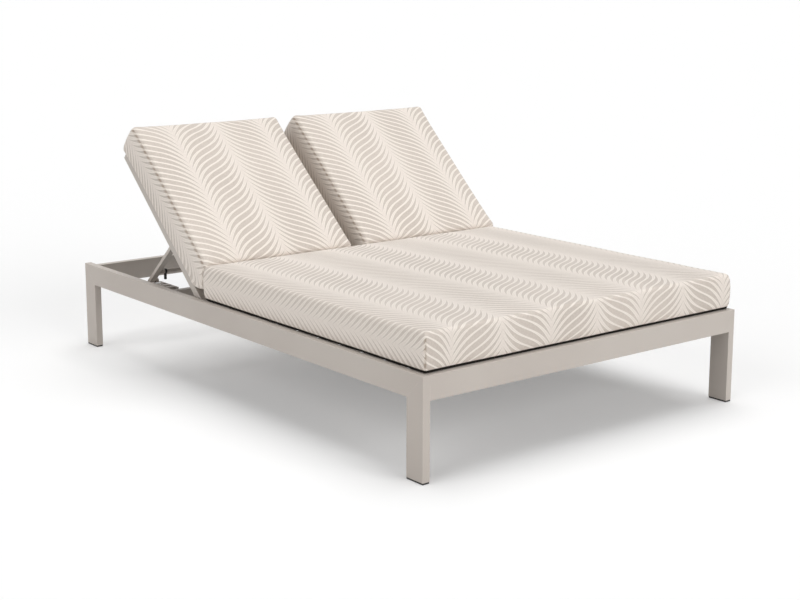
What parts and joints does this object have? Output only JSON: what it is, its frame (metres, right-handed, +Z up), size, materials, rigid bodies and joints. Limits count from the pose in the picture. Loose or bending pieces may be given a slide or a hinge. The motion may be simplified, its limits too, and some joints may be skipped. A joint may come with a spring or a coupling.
{
  "type": "double chaise lounger",
  "caption": "Double chaise lounger: flat tube frame on legs, one wide seat cushion and two backs that raise and fold on notched props, each with its own cushion.",
  "frame": {"origin": "on the floor under the middle of the frame", "axes": "+X across the lounger, to the right of someone who stands at the foot end and looks at the backs; +Y from the foot end to the head end; +Z up"},
  "size_m": [1.372, 2.083, 0.8863],
  "materials": {
    "frame_paint": "satin powder coat",
    "cushion_fabric": "woven, cream with taupe herringbone",
    "dark_plastic": "moulded, matt",
    "bush_plastic": "moulded, matt",
    "pin_steel": "turned"
  },
  "bodies": {
    "frame": {"back_rests": "frame_paint", "centre_beam": "frame_paint", "centre_hinge_block": "frame_paint", "foot_rail": "frame_paint", "head_beam": "frame_paint", "head_rail": "frame_paint", "hinge_crossbar": "frame_paint", "hinge_pins": "pin_steel", "hinge_spacers": "bush_plastic", "left_foot_leg": "frame_paint", "left_head_leg": "frame_paint", "left_inner_rack": "frame_paint", "left_outer_rack": "frame_paint", "left_side_rail": "frame_paint", "leg_glides": "dark_plastic", "rack_brackets": "frame_paint", "rack_crossbar": "frame_paint", "right_foot_leg": "frame_paint", "right_head_leg": "frame_paint", "right_inner_rack": "frame_paint", "right_outer_rack": "frame_paint", "right_side_rail": "frame_paint", "seat_cushion": "cushion_fabric", "seat_slats": "frame_paint", "slat_ledges": "frame_paint", "slat_screws": "pin_steel"},
    "left_back": {"left_back_bushes": "bush_plastic", "left_back_cushion": "cushion_fabric", "left_back_end_caps": "dark_plastic", "left_back_inner_bow_leg": "frame_paint", "left_back_inner_tube": "frame_paint", "left_back_lower_rail": "frame_paint", "left_back_outer_bow_leg": "frame_paint", "left_back_outer_tube": "frame_paint", "left_back_slats": "frame_paint", "left_back_top_rail": "frame_paint", "left_prop_studs": "pin_steel"},
    "right_back": {"right_back_bushes": "bush_plastic", "right_back_cushion": "cushion_fabric", "right_back_end_caps": "dark_plastic", "right_back_inner_bow_leg": "frame_paint", "right_back_inner_tube": "frame_paint", "right_back_lower_rail": "frame_paint", "right_back_outer_bow_leg": "frame_paint", "right_back_outer_tube": "frame_paint", "right_back_slats": "frame_paint", "right_back_top_rail": "frame_paint", "right_prop_studs": "pin_steel"},
    "left_prop": {"left_prop_collars": "dark_plastic", "left_prop_cross_tube": "frame_paint", "left_prop_foot_pins": "pin_steel", "left_prop_foot_sleeves": "frame_paint", "left_prop_inner_arm": "frame_paint", "left_prop_outer_arm": "frame_paint"},
    "right_prop": {"right_prop_collars": "dark_plastic", "right_prop_cross_tube": "frame_paint", "right_prop_foot_pins": "pin_steel", "right_prop_foot_sleeves": "frame_paint", "right_prop_inner_arm": "frame_paint", "right_prop_outer_arm": "frame_paint"}
  },
  "joints": [
    {"name": "left_back_hinge", "type": "hinge", "parent": "frame", "child": "left_back", "pos_m": [-0.3375, 0.229, 0.31], "axis": [1, 0, 0], "range_deg": [-42.2, 14.3]},
    {"name": "left_prop_pivot", "type": "hinge", "parent": "left_back", "child": "left_prop", "pos_m": [-0.3375, 0.43568, 0.49741], "axis": [1, 0, 0], "range_deg": [-28.8, 84.6]},
    {"name": "right_back_hinge", "type": "hinge", "parent": "frame", "child": "right_back", "pos_m": [0.3375, 0.229, 0.31], "axis": [1, 0, 0], "range_deg": [-42.2, 14.3]},
    {"name": "right_prop_pivot", "type": "hinge", "parent": "right_back", "child": "right_prop", "pos_m": [0.3375, 0.43568, 0.49741], "axis": [1, 0, 0], "range_deg": [-28.8, 84.6]}
  ],
  "couplings": [
    {"joint": "left_prop_pivot", "follows": "left_back_hinge", "ratio": -2},
    {"joint": "right_prop_pivot", "follows": "right_back_hinge", "ratio": -2}
  ]
}
